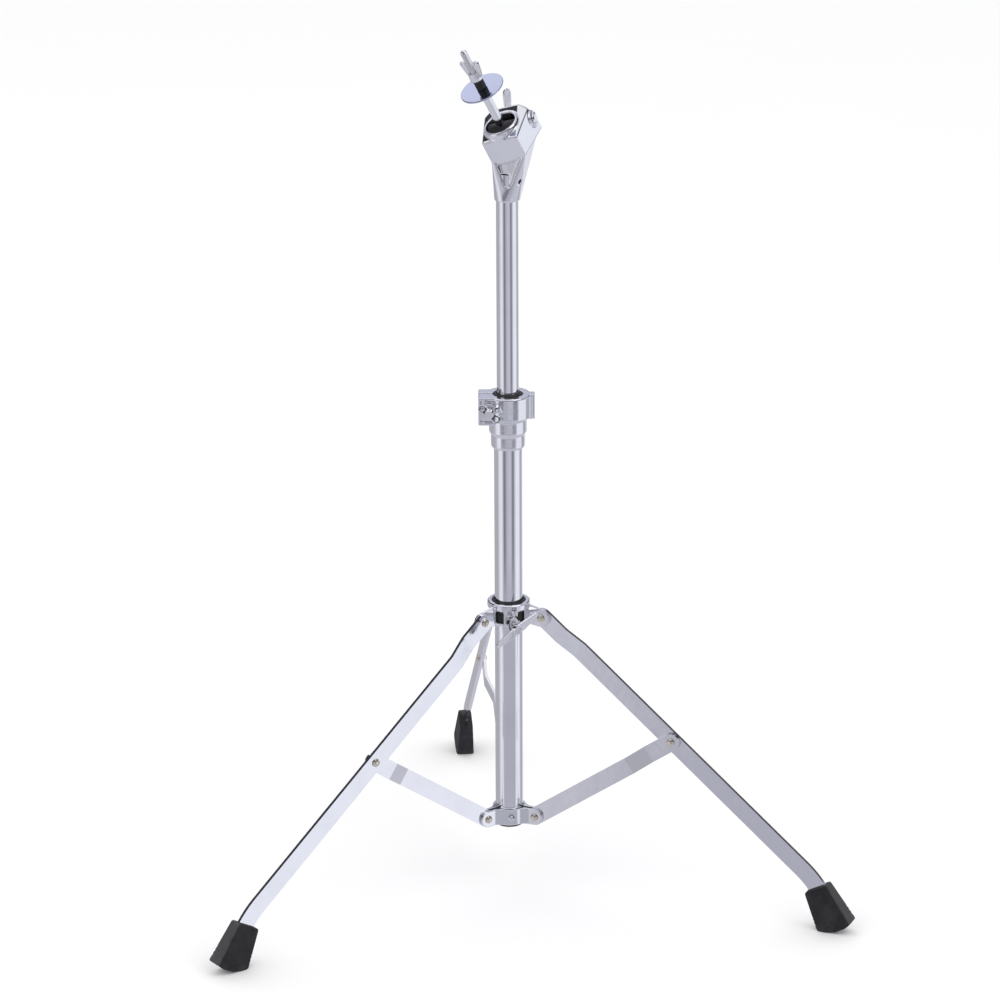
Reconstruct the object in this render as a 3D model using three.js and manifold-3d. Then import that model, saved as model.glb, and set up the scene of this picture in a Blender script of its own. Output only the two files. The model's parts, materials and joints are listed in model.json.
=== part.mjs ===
// A straight two-tier cymbal stand: folding single-braced tripod, height clamp and tilter.
// Millimetres, +Z up, the floor at z = 0. Heights called z are above the floor.
import * as THREE from "three";
import { mergeVertices } from "three/addons/utils/BufferGeometryUtils.js";
import { ConvexGeometry } from "three/addons/geometries/ConvexGeometry.js";
import Module from "manifold-3d";

const wasm = await Module();
wasm.setup();

// ---- driving dimensions -------------------------------------------------------------------

const GAP = 0.3; // running and assembly clearance between neighbouring pieces
const TURN = 2 * Math.PI;
const rad = THREE.MathUtils.degToRad;

// The column's axis in the part's frame, whose origin is the centre of the footprint.
const COLUMN = { x: 0.3, y: -79.2 };

const LOWER_TUBE = { radius: 12.7, wall: 1.2, bottom: 60, top: 446 };
const UPPER_TUBE = { radius: 9.9, wall: 1.2, bottom: 245, top: 676 };

// The three legs stand a third of a turn apart. Each swings in a plane through the column's axis.
const LEGS = { rear: 88.12, left: 208.12, right: 328.12 };
const BETWEEN_LEGS = 60;

const LEG = {
  pivotRadius: 31.3,
  pivotZ: 262.3,
  slope: 39.4, // degrees below the horizontal
  width: 16.5,
  thickness: 3.2,
  offset: 9.8, // how far the long stretch lies to the side of the leg's swing plane
  topOffset: 5, // the same for the short stretch at the collar
  jogStart: 24,
  jogEnd: 45,
  straight: 326, // from the pivot to where the foot end starts to bend down
  bendRadius: 88.8,
  bend: 22,
  tail: 14, // straight end inside the rubber foot
  braceAt: 162.6, // from the leg's pivot to the rivet it shares with the brace
};

const BRACE = {
  pivotRadius: 26.7,
  pivotZ: 67.3,
  rise: 35.19, // degrees above the horizontal
  length: 159.3,
  width: 16,
  thickness: 2.6,
  offset: 6.6,
  jogStart: 113,
  jogEnd: 133,
};

const FOOT = {
  topRadius: 298.3,
  topZ: 39.4,
  slope: 61.4,
  topWidth: 24.4,
  topThickness: 13,
  soleThickness: 17.6,
  soleCurve: 32.5,
  soleCentreRadius: 307.3,
  soleFrom: -12,
  soleTo: 52,
  soleStep: 8, // the facet from -4 to +4 degrees is the level patch that stands on the floor
};

const PIN = { shank: 2.5, head: 3.6, headHeight: 1.6 };

const COLLAR = {
  bore: 15.3,
  bottom: 256,
  ringBottom: 270.5,
  top: 277,
  coreRadius: 17.5,
  ringRadius: 19.5,
  earFrom: 0.6,
  earThickness: 2.5,
  bossRadius: 6.5,
  bossEnd: 29,
  boltHeading: 273.2,
  boltZ: 260.8,
  windowWidth: 8,
  windowTurn: 36, // from the middle of the space between two legs
};

const BRACKET = {
  inner: 13,
  outer: 15.5,
  height: 15.4,
  earGap: 1.6,
  earThickness: 2.5,
  fillet: 9, // radius of the curve by which a band flares into its ears
};

const CLAMP = {
  turn: -8.2, // heading of the clamp's lug about the column
  lowerBore: 13,
  upperBore: 13.1,
  step: 446.3,
  bottom: 422.5,
  skirtRadius: 15.4,
  waistRadius: 17.1,
  headRadius: 20.5,
  headBottom: 451,
  top: 473,
  lugEnd: -26.5,
  lugFront: -16,
  lugBack: 12,
  boltX: -16.7,
  boltZ: 462,
};

// The tilter's head leans with the rod. Its own frame has Z along the rod and X along the hinge.
const TILTER = {
  pivotZ: 709,
  heading: 209.4,
  lean: 30,
  roll: 125,
  drumRadius: 13.5,
  halfWidth: 13,
  front: -17,
  wingBoltX: -4,
  backFace: 24,
  rimTop: 15.5,
};

const ROD = { radius: 4, threadRadius: 3, threadFrom: 53, tip: 95.7 };
const CUP = { radius: 20, thickness: 1.5, at: 53.3 };
const SLEEVE = { radius: 4.5, from: 55.1, to: 64.5 };

// ---- materials ----------------------------------------------------------------------------

const finishes = {
  chrome: { color: 0xdadce3, roughness: 0.1, metalness: 1 },
  rivet: { color: 0xc9b58c, roughness: 0.35, metalness: 1 },
  blackRubber: { color: 0x1b1b1c, roughness: 0.75, metalness: 0 },
  blackNylon: { color: 0x141416, roughness: 0.5, metalness: 0 },
};

// ---- solids -------------------------------------------------------------------------------

function solid(geometry) {
  const bare = geometry.index ? geometry.toNonIndexed() : geometry.clone();
  bare.deleteAttribute("normal");
  bare.deleteAttribute("uv");
  const merged = mergeVertices(bare, 1e-3);
  return new wasm.Manifold(
    new wasm.Mesh({
      numProp: 3,
      vertProperties: merged.attributes.position.array,
      triVerts: new Uint32Array(merged.index.array),
    }),
  );
}

function surface(body) {
  const mesh = body.getMesh();
  return new THREE.BufferGeometry()
    .setAttribute("position", new THREE.BufferAttribute(mesh.vertProperties, 3))
    .setIndex(new THREE.BufferAttribute(mesh.triVerts, 1));
}

const join = (first, ...others) => others.reduce((sum, body) => sum.add(body), first);
const cut = (first, ...tools) => tools.reduce((rest, tool) => rest.subtract(tool), first);

// A body turned about Z from a [radius, z] profile that runs anticlockwise.
function turned(profile, segments = 28) {
  const points = profile.map(([radius, z]) => new THREE.Vector2(radius, z));
  return new THREE.LatheGeometry(points, segments).rotateX(Math.PI / 2);
}

function ring(inner, outer, bottom, top, segments) {
  const profile = [
    [inner, bottom],
    [outer, bottom],
    [outer, top],
    [inner, top],
    [inner, bottom],
  ];
  return turned(profile, segments);
}

function rod(radius, bottom, top, segments = 16) {
  const profile = [
    [0, bottom],
    [radius, bottom],
    [radius, top],
    [0, top],
  ];
  return turned(profile, segments);
}

const alongX = (geometry) => geometry.rotateY(Math.PI / 2);
const alongY = (geometry) => geometry.rotateX(-Math.PI / 2);

function box(from, to) {
  const size = to.map((value, axis) => value - from[axis]);
  const centre = to.map((value, axis) => (value + from[axis]) / 2);
  return new THREE.BoxGeometry(...size).translate(...centre);
}

// A plate whose outline lies in the XZ plane, between two values of Y.
function plate(shape, low, high, curveSegments = 7) {
  const depth = high - low;
  return new THREE.ExtrudeGeometry(shape, { depth, bevelEnabled: false, curveSegments })
    .rotateX(Math.PI / 2)
    .translate(0, high, 0);
}

// An upright prism whose outline lies in the XY plane.
function prism(shape, bottom, top, curveSegments = 7) {
  const depth = top - bottom;
  return new THREE.ExtrudeGeometry(shape, {
    depth,
    bevelEnabled: false,
    curveSegments,
  }).translate(0, 0, bottom);
}

function hull(points) {
  return new ConvexGeometry(points.map((point) => new THREE.Vector3(...point)));
}

// ---- the assembly -------------------------------------------------------------------------

const stand = new THREE.Group();
stand.position.set(COLUMN.x, COLUMN.y, 0);

function add(parent, name, geometry, finish) {
  const mesh = new THREE.Mesh(geometry, new THREE.MeshStandardMaterial(finishes[finish]));
  mesh.name = name;
  parent.add(mesh);
  return mesh;
}

// A frame of its own, turned about Z.
function turnedGroup(parent, degrees) {
  const group = new THREE.Group();
  group.rotation.z = rad(degrees);
  parent.add(group);
  return group;
}

// ---- tubes --------------------------------------------------------------------------------

const lowerInner = LOWER_TUBE.radius - LOWER_TUBE.wall;
const upperInner = UPPER_TUBE.radius - UPPER_TUBE.wall;

function tubes() {
  const { bottom, top, radius } = LOWER_TUBE;
  add(stand, "lower_tube", ring(lowerInner, radius, bottom, top), "chrome");
  add(
    stand,
    "upper_tube",
    ring(upperInner, UPPER_TUBE.radius, UPPER_TUBE.bottom, UPPER_TUBE.top),
    "chrome",
  );
  const plug = [
    [0, bottom - 3],
    [radius - 0.2, bottom - 3],
    [radius - 0.2, bottom - GAP],
    [lowerInner - GAP, bottom - GAP],
    [lowerInner - GAP, bottom + 10],
    [0, bottom + 10],
  ];
  add(stand, "tube_end_plug", turned(plug), "blackNylon");
  const glideInner = UPPER_TUBE.radius + GAP;
  const glideBottom = UPPER_TUBE.bottom + 2;
  const glide = ring(glideInner, lowerInner - GAP, glideBottom, glideBottom + 26);
  add(stand, "tube_glide", glide, "blackNylon");
}

// ---- pins and wings -----------------------------------------------------------------------

// A rivet along Y whose two heads sit outside the stretch from low to high.
function rivet(low, high) {
  const profile = [
    [0, low - GAP - PIN.headHeight],
    [PIN.head * 0.7, low - GAP - PIN.headHeight],
    [PIN.head, low - GAP - PIN.headHeight * 0.4],
    [PIN.head, low - GAP],
    [PIN.shank, low - GAP],
    [PIN.shank, high + GAP],
    [PIN.head, high + GAP],
    [PIN.head, high + GAP + PIN.headHeight * 0.4],
    [PIN.head * 0.7, high + GAP + PIN.headHeight],
    [0, high + GAP + PIN.headHeight],
  ];
  return alongY(turned(profile, 12));
}

// Half a rivet along Y: a head outside the face at `face` and a shank that ends at `end`.
function halfRivet(face, end) {
  const outward = Math.sign(face - end);
  const head = face + outward * GAP;
  const profile = [
    [0, Math.abs(end - head)],
    [PIN.shank, Math.abs(end - head)],
    [PIN.shank, 0],
    [PIN.head, 0],
    [PIN.head, -PIN.headHeight * 0.4],
    [PIN.head * 0.7, -PIN.headHeight],
    [0, -PIN.headHeight],
  ].reverse();
  const made = turned(profile, 12);
  return (outward > 0 ? alongY(made.rotateX(Math.PI)) : alongY(made)).translate(0, head, 0);
}

const pinHole = (low, high) => solid(alongY(rod(PIN.shank + GAP, low, high, 12)));

// One ear of a wing, in the XZ plane: a tapered lug from a root disc to a tip disc, maybe pierced.
function ear({ root, tip, thickness, hole = 0, twist = 0 }) {
  const points = [];
  for (const disc of [root, tip]) {
    for (let i = 0; i < 10; i++) {
      const angle = (i / 10) * TURN;
      const x = disc.x + disc.radius * Math.cos(angle);
      const z = disc.z + disc.radius * Math.sin(angle);
      points.push([x, -thickness / 2, z], [x, thickness / 2, z]);
    }
  }
  let body = solid(hull(points));
  if (hole > 0) {
    const drill = rod(hole, -thickness, thickness, 10);
    body = cut(body, solid(alongY(drill).translate(tip.x, 0, tip.z)));
  }
  const lift = root.z;
  return body.translate([0, 0, -lift]).rotate([twist, 0, 0]).translate([0, 0, lift]);
}

// Both ears of a wing bolt or nut, opposite each other about Z and in one plane.
function wings({ twist = 0, ...spec }) {
  return join(ear({ ...spec, twist }), ear({ ...spec, twist: -twist }).rotate([0, 0, 180]));
}

// A wing bolt along Z: the shank reaches down from its seat at z = 0, the hub stands above it.
function wingBolt({ shankLength, hubRadius, hubHeight, ...spec }) {
  const profile = [
    [0, -shankLength],
    [PIN.shank + 0.5, -shankLength],
    [PIN.shank + 0.5, GAP],
    [hubRadius, GAP],
    [hubRadius, hubHeight * 0.7],
    [hubRadius * 0.7, hubHeight],
    [0, hubHeight],
  ];
  return join(solid(turned(profile, 16)), wings(spec));
}

// ---- legs ---------------------------------------------------------------------------------

// The edge view of a flat strap that steps sideways once, as a prism that is as tall as needed.
function joggledBand({ from, to, jogStart, jogEnd, startOffset, endOffset, half, tall }) {
  const shape = new THREE.Shape();
  shape.moveTo(from, startOffset - half);
  shape.lineTo(jogStart, startOffset - half);
  shape.lineTo(jogEnd, endOffset - half);
  shape.lineTo(to, endOffset - half);
  shape.lineTo(to, endOffset + half);
  shape.lineTo(jogEnd, endOffset + half);
  shape.lineTo(jogStart, startOffset + half);
  shape.lineTo(from, startOffset + half);
  return solid(prism(shape, -tall, tall));
}

// The leg lies along X from its pivot, and bends down near its end. It is grown for the foot's pocket.
function legBody(grow = 0) {
  const half = LEG.width / 2 + grow;
  const start = Math.PI / 2;
  const end = start - rad(LEG.bend);
  const bendZ = -LEG.bendRadius;
  const tail = LEG.tail + grow;
  const at = (radius, along) => [
    LEG.straight + radius * Math.cos(end) + along * Math.sin(end),
    bendZ + radius * Math.sin(end) - along * Math.cos(end),
  ];
  const outline = new THREE.Shape();
  outline.moveTo(0, -half);
  outline.lineTo(LEG.straight, -half);
  outline.absarc(LEG.straight, bendZ, LEG.bendRadius - half, start, end, true);
  outline.lineTo(...at(LEG.bendRadius - half, tail));
  outline.lineTo(...at(LEG.bendRadius + half, tail));
  outline.lineTo(...at(LEG.bendRadius + half, 0));
  outline.absarc(LEG.straight, bendZ, LEG.bendRadius + half, end, start, false);
  outline.lineTo(0, half);
  outline.absarc(0, 0, half, start, start + Math.PI, false);
  const band = joggledBand({
    from: -20,
    to: LEG.straight + 80,
    jogStart: LEG.jogStart,
    jogEnd: LEG.jogEnd,
    startOffset: LEG.topOffset,
    endOffset: LEG.offset,
    half: LEG.thickness / 2 + grow,
    tall: 60,
  });
  return solid(plate(outline, -30, 30)).intersect(band);
}

function footBody() {
  const points = [];
  const across = [Math.sin(rad(FOOT.slope)), Math.cos(rad(FOOT.slope))];
  for (const side of [-1, 1]) {
    const top = LEG.offset + (side * FOOT.topThickness) / 2;
    for (const edge of [-1, 1]) {
      const reach = (edge * FOOT.topWidth) / 2;
      points.push([FOOT.topRadius + reach * across[0], top, FOOT.topZ + reach * across[1]]);
    }
    const sole = LEG.offset + (side * FOOT.soleThickness) / 2;
    const centreZ = FOOT.soleCurve * Math.cos(rad(FOOT.soleStep / 2));
    for (let angle = FOOT.soleFrom; angle <= FOOT.soleTo; angle += FOOT.soleStep) {
      const x = FOOT.soleCentreRadius + FOOT.soleCurve * Math.sin(rad(angle));
      points.push([x, sole, centreZ - FOOT.soleCurve * Math.cos(rad(angle))]);
    }
  }
  const pocket = legBody(GAP).rotate([0, LEG.slope, 0]);
  return cut(solid(hull(points)), pocket.translate([LEG.pivotRadius, 0, LEG.pivotZ]));
}

function leg(name, heading) {
  const plane = turnedGroup(stand, heading);
  const swing = new THREE.Group();
  swing.position.set(LEG.pivotRadius, 0, LEG.pivotZ);
  swing.rotation.y = rad(LEG.slope);
  plane.add(swing);
  const low = LEG.offset - LEG.thickness / 2;
  const high = LEG.offset + LEG.thickness / 2;
  const body = cut(
    legBody(),
    pinHole(-5, 20),
    pinHole(-5, 20).translate([LEG.braceAt, 0, 0]),
  );
  add(swing, "leg_" + name, surface(body), "chrome");
  const outer = add(swing, "leg_rivet_" + name, halfRivet(high, low), "rivet");
  outer.position.x = LEG.braceAt;
  add(plane, "foot_" + name, surface(footBody()), "blackRubber");
  const hinge = rivet(COLLAR.earFrom, LEG.topOffset + LEG.thickness / 2);
  const pin = add(plane, "leg_pin_" + name, hinge, "rivet");
  pin.position.copy(swing.position);
}

// ---- braces -------------------------------------------------------------------------------

function braceBody() {
  const half = BRACE.width / 2;
  const outline = new THREE.Shape();
  outline.absarc(0, 0, half, Math.PI / 2, (3 * Math.PI) / 2, false);
  outline.absarc(BRACE.length, 0, half, -Math.PI / 2, Math.PI / 2, false);
  const band = joggledBand({
    from: -20,
    to: BRACE.length + 20,
    jogStart: BRACE.jogStart,
    jogEnd: BRACE.jogEnd,
    startOffset: 0,
    endOffset: BRACE.offset,
    half: BRACE.thickness / 2,
    tall: 20,
  });
  const body = solid(plate(outline, -20, 20)).intersect(band);
  return cut(body, pinHole(-10, 15), pinHole(-10, 15).translate([BRACE.length, 0, 0]));
}

function brace(name, heading) {
  const plane = turnedGroup(stand, heading);
  const swing = new THREE.Group();
  swing.position.set(BRACE.pivotRadius, 0, BRACE.pivotZ);
  swing.rotation.y = -rad(BRACE.rise);
  plane.add(swing);
  add(swing, "brace_" + name, surface(braceBody()), "chrome");
  const low = BRACE.offset - BRACE.thickness / 2;
  const high = BRACE.offset + BRACE.thickness / 2;
  const inner = add(swing, "brace_rivet_" + name, halfRivet(low, high), "rivet");
  inner.position.x = BRACE.length;
  const ears = BRACKET.earGap + BRACKET.earThickness;
  const pin = add(plane, "brace_pin_" + name, rivet(-ears, ears), "rivet");
  pin.position.copy(swing.position);
}

// ---- lower bracket: three bands round the tube, whose ears hold the braces -------------------

const bracketBottom = BRACE.pivotZ - BRACKET.height / 2;

// The ear beyond the end of a band, in the swing plane of a brace.
function bracketEar(low, high) {
  const half = BRACKET.height / 2;
  const outline = new THREE.Shape();
  outline.moveTo(BRACKET.inner + 0.1, -half);
  outline.lineTo(BRACE.pivotRadius, -half);
  outline.absarc(BRACE.pivotRadius, 0, half, -Math.PI / 2, Math.PI / 2, false);
  outline.lineTo(BRACKET.inner + 0.1, half);
  const body = solid(plate(outline, low, high).translate(0, 0, BRACE.pivotZ));
  return cut(body, pinHole(low - 1, high + 1).translate([BRACE.pivotRadius, 0, BRACE.pivotZ]));
}

// The flare between a band and its ear, in a frame whose X is the heading of the ear.
function bracketFlare() {
  const { inner, outer, earGap, earThickness, fillet } = BRACKET;
  const side = earGap + earThickness;
  const y = side + fillet;
  const x = Math.sqrt((outer + fillet) ** 2 - y ** 2);
  const angle = Math.atan2(y, x);
  const middle = (inner + outer) / 2;
  const outline = new THREE.Shape();
  outline.moveTo(middle, side - 1);
  outline.lineTo(x, side - 1);
  outline.lineTo(x, side);
  outline.absarc(x, y, fillet, -Math.PI / 2, angle - Math.PI, true);
  outline.lineTo(middle * Math.cos(angle), middle * Math.sin(angle));
  return solid(prism(outline, bracketBottom, bracketBottom + BRACKET.height, 6));
}

function bracketBand(name, heading) {
  const group = turnedGroup(stand, heading + BETWEEN_LEGS);
  const reach = rad(BETWEEN_LEGS) - Math.asin(BRACKET.earGap / BRACKET.inner);
  const sector = new THREE.Shape();
  sector.absarc(0, 0, BRACKET.outer, -reach, reach, false);
  sector.absarc(0, 0, BRACKET.inner, reach, -reach, true);
  const band = solid(prism(sector, bracketBottom, bracketBottom + BRACKET.height, 10));
  const near = BRACKET.earGap;
  const far = BRACKET.earGap + BRACKET.earThickness;
  const first = bracketEar(near, far).add(bracketFlare()).rotate([0, 0, -BETWEEN_LEGS]);
  const mirroredFlare = bracketFlare().mirror([0, 1, 0]);
  const second = bracketEar(-far, -near).add(mirroredFlare).rotate([0, 0, BETWEEN_LEGS]);
  const hole = solid(alongX(rod(1.9, 10, 20, 12)).translate(0, 0, BRACE.pivotZ));
  add(group, "bracket_band_" + name, surface(cut(join(band, first, second), hole)), "chrome");
  const screw = [
    [0, BRACKET.inner + 0.2],
    [1.6, BRACKET.inner + 0.2],
    [1.6, BRACKET.outer + GAP],
    [3, BRACKET.outer + GAP],
    [3, BRACKET.outer + 1.2],
    [1.8, BRACKET.outer + 1.9],
    [0, BRACKET.outer + 1.9],
  ];
  const made = add(group, "bracket_screw_" + name, alongX(turned(screw, 12)), "chrome");
  made.position.z = BRACE.pivotZ;
}

// ---- leg collar ---------------------------------------------------------------------------

function collarEar(heading) {
  const half = LEG.width / 2 + 0.35;
  const outline = new THREE.Shape();
  outline.moveTo(COLLAR.bore + 0.5, COLLAR.bottom - LEG.pivotZ);
  outline.lineTo(LEG.pivotRadius - 2, -half);
  outline.absarc(LEG.pivotRadius, 0, half, -Math.PI / 2, Math.PI / 2, false);
  outline.lineTo(COLLAR.bore + 0.5, COLLAR.top - 2 - LEG.pivotZ);
  const low = COLLAR.earFrom;
  const high = COLLAR.earFrom + COLLAR.earThickness;
  const body = solid(plate(outline, low, high).translate(0, 0, LEG.pivotZ));
  const hole = pinHole(low - 1, high + 1).translate([LEG.pivotRadius, 0, LEG.pivotZ]);
  return cut(body, hole).rotate([0, 0, heading]);
}

// A window through the side of the collar's core, with the bush behind it.
function collarWindow(heading) {
  const half = COLLAR.windowWidth / 2;
  const low = [COLLAR.bore - 2, -half, COLLAR.bottom + 2.5];
  const high = [COLLAR.coreRadius + 3, half, COLLAR.ringBottom - 1.5];
  return solid(box(low, high)).rotate([0, 0, heading]);
}

function collar() {
  const { bore, coreRadius, ringRadius, bottom, ringBottom, top, boltHeading } = COLLAR;
  const profile = [
    [bore, bottom],
    [coreRadius, bottom],
    [coreRadius, ringBottom - 1],
    [ringRadius, ringBottom + 0.5],
    [ringRadius, top - 1],
    [ringRadius - 1, top],
    [bore, top],
    [bore, bottom],
  ];
  const boss = alongX(rod(COLLAR.bossRadius, bore + 0.5, COLLAR.bossEnd, 16));
  const drill = alongX(rod(PIN.shank + 0.5 + GAP, bore - 3, COLLAR.bossEnd + 1, 12));
  const onBolt = (geometry) =>
    solid(geometry.translate(0, 0, COLLAR.boltZ)).rotate([0, 0, boltHeading]);
  let body = solid(turned(profile, 28));
  for (const heading of Object.values(LEGS)) body = body.add(collarEar(heading));
  body = body.add(onBolt(boss)).subtract(onBolt(drill));
  for (const heading of Object.values(LEGS)) {
    for (const side of [-COLLAR.windowTurn, COLLAR.windowTurn]) {
      body = body.subtract(collarWindow(heading + BETWEEN_LEGS + side));
    }
  }
  add(stand, "leg_collar", surface(body), "chrome");
  const bush = ring(LOWER_TUBE.radius + GAP, bore - GAP, bottom + 1.5, top + 0.8);
  add(stand, "collar_bush", bush, "blackNylon");

  const bolt = wingBolt({
    shankLength: COLLAR.bossEnd - bore,
    hubRadius: 4.8,
    hubHeight: 12,
    root: { x: 4, z: 9.5, radius: 5.2 },
    tip: { x: 21.5, z: 9.5, radius: 2.5 },
    thickness: 2.4,
    twist: -60,
  });
  const seat = turnedGroup(stand, boltHeading);
  const made = add(seat, "collar_wing_bolt", surface(bolt), "chrome");
  made.position.set(COLLAR.bossEnd, 0, COLLAR.boltZ);
  made.rotation.set(rad(38), 0, 0);
  made.rotateY(Math.PI / 2);
  made.rotateZ(Math.PI / 2);
}

// ---- height clamp -------------------------------------------------------------------------

function heightClamp() {
  const { lowerBore, upperBore, step, bottom, skirtRadius, waistRadius } = CLAMP;
  const { headRadius, headBottom, top, lugEnd, lugFront, lugBack, boltX, boltZ } = CLAMP;
  const profile = [
    [lowerBore, bottom],
    [skirtRadius - 1.4, bottom],
    [skirtRadius, bottom + 2],
    [skirtRadius, bottom + 13],
    [waistRadius, bottom + 15.5],
    [waistRadius, headBottom - 1],
    [headRadius, headBottom + 1],
    [headRadius, top - 0.8],
    [headRadius - 0.8, top],
    [upperBore, top],
    [upperBore, step],
    [lowerBore, step],
    [lowerBore, bottom],
  ];
  const lugBottom = headBottom - 3.5;
  const lug = solid(box([lugEnd, lugFront, lugBottom], [-12, lugBack, top]));
  const flange = solid(box([16, -5, headBottom - 1], [24, 5, top]));
  const tube = solid(rod(upperBore, step, top + 5, 28));
  const lowerTube = solid(rod(lowerBore, bottom - 5, step, 28));
  const slot = solid(box([lugEnd - 5, -1, headBottom + 1], [-upperBore + 2, 1, top + 5]));
  const boss = solid(alongY(rod(6, lugFront, 0, 14)).translate(boltX, 0, boltZ));
  const recess = solid(
    box([lugEnd + 2, lugFront - 1, lugBottom + 2.5], [-10.5, lugFront + 2.2, top - 2.5]),
  ).subtract(boss);
  const drill = solid(
    alongY(rod(PIN.shank + 0.5 + GAP, lugFront - 1, lugBack + 1, 12)).translate(boltX, 0, boltZ),
  );
  const frontSeat = solid(alongY(rod(5.4, lugFront - 15, lugFront, 14)).translate(boltX, 0, boltZ));
  const backSeat = solid(alongY(rod(6.2, lugBack, lugBack + 15, 14)).translate(boltX, 0, boltZ));
  const groove = solid(box([21.6, -6, headBottom - 2], [22.8, -4, top + 1]));
  let body = join(solid(turned(profile, 28)), lug, flange);
  body = cut(body, tube, lowerTube, recess, slot, drill, frontSeat, backSeat, groove);
  const group = turnedGroup(stand, CLAMP.turn);
  add(group, "height_clamp", surface(body), "chrome");

  const sleeve = ring(UPPER_TUBE.radius + GAP, upperBore - GAP, step + GAP, top + 0.5);
  add(stand, "clamp_sleeve", sleeve, "blackNylon");

  const bolt = wingBolt({
    shankLength: lugBack - lugFront + 3.5,
    hubRadius: 4.6,
    hubHeight: 13,
    root: { x: 2.5, z: 10.5, radius: 3 },
    tip: { x: 8, z: 10.5, radius: 3.7 },
    thickness: 2.2,
    hole: 1.8,
    twist: 62,
  });
  const made = add(group, "clamp_wing_bolt", surface(bolt), "chrome");
  made.position.set(boltX, lugFront, boltZ);
  made.rotation.set(Math.PI / 2, 0, 0);
  made.rotateZ(rad(-38));

  const hexagon = solid(alongY(rod(5.6, lugBack + GAP, lugBack + 4, 6)));
  const thread = solid(alongY(rod(PIN.shank + 0.5 + GAP, lugBack, lugBack + 5, 16)));
  const placed = add(group, "clamp_nut", surface(cut(hexagon, thread)), "chrome");
  placed.position.set(boltX, 0, boltZ);
}

// ---- tilter -------------------------------------------------------------------------------

const pivot = new THREE.Group();
const lean = new THREE.Group();
lean.rotation.order = "ZYX";
lean.rotation.set(0, rad(TILTER.lean), rad(TILTER.heading));
pivot.add(lean);
const head = turnedGroup(lean, TILTER.roll);
pivot.updateMatrixWorld(true);

// Points given about the pivot in the stand's upright frame, moved into the head's own frame.
const intoHead = head.matrixWorld.clone().invert();

function uprightPoints(points) {
  return points.map((point) => new THREE.Vector3(...point).applyMatrix4(intoHead));
}

function circlePoints(radius, z, count) {
  const points = [];
  for (let i = 0; i < count; i++) {
    const angle = (i / count) * TURN;
    points.push([radius * Math.cos(angle), radius * Math.sin(angle), z]);
  }
  return points;
}

const mirrored = (points) => points.flatMap(([x, y, z]) => [[x, y, z], [-x, y, z]]);

// The casting round the drum. It flares towards its back, where the wing bolt goes in.
function headBlock() {
  const { front, backFace } = TILTER;
  return mirrored([
    [17, front, -13],
    [17, front, 8],
    [16.5, front + 2, 9.5],
    [21, 17, 12],
    [12.4, backFace - 1, 15.5],
    [18.7, backFace - 1, 9.3],
    [22.5, backFace, -3],
    [23, backFace - 0.5, -15],
  ]);
}

const SOCKET = { ringRadius: 11.4, ringBottom: -58, ringTop: -53, boreTop: -32.5 };

function neckPoints() {
  const shoulder = mirrored([
    [16.5, TILTER.front + 0.5, -12],
    [20, 20, -14],
  ]).map((point) => new THREE.Vector3(...point));
  const ends = [
    ...circlePoints(SOCKET.ringRadius, SOCKET.ringBottom, 20),
    ...circlePoints(SOCKET.ringRadius, SOCKET.ringTop, 20),
  ];
  return [...shoulder, ...uprightPoints(ends)];
}

// The three-cornered hollow in the front of the neck, above the clamp's front.
const HOLLOW = {
  depth: 1.5,
  turn: rad(CLAMP.turn),
  corners: [
    [-8.5, -23],
    [12.5, -15],
    [2.5, -43],
    [-1.5, -43.5],
  ],
};

// The hollow as a tool that follows the neck's surface.
function neckHollow(neck) {
  const { depth, turn, corners } = HOLLOW;
  const points = corners.flatMap(([across, z]) =>
    [-45, 0].map((along) => [
      across * Math.cos(turn) - along * Math.sin(turn),
      across * Math.sin(turn) + along * Math.cos(turn),
      z,
    ]),
  );
  const tool = solid(new ConvexGeometry(uprightPoints(points)));
  const [origin, back] = uprightPoints([
    [0, 0, 0],
    [-depth * Math.sin(turn), depth * Math.cos(turn), 0],
  ]);
  return tool.subtract(neck.translate(back.sub(origin).toArray()));
}

// A rod along Z in the upright frame, as a solid in the head's frame.
function uprightSolid(geometry) {
  return solid(geometry.applyMatrix4(intoHead));
}

const SET_SCREW = { heading: 309.5, z: -38.3, radius: 2.1, from: 10.6, to: 13.6 };
const CAP = { y: 17, z: 1, seatRadius: 7.35, seat: 22.8, radius: 5.4, top: 24.9 };

function setScrewRod(radius, from, to) {
  const { heading, z } = SET_SCREW;
  return alongX(rod(radius, from, to, 12)).rotateZ(rad(heading)).translate(0, 0, z);
}

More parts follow.
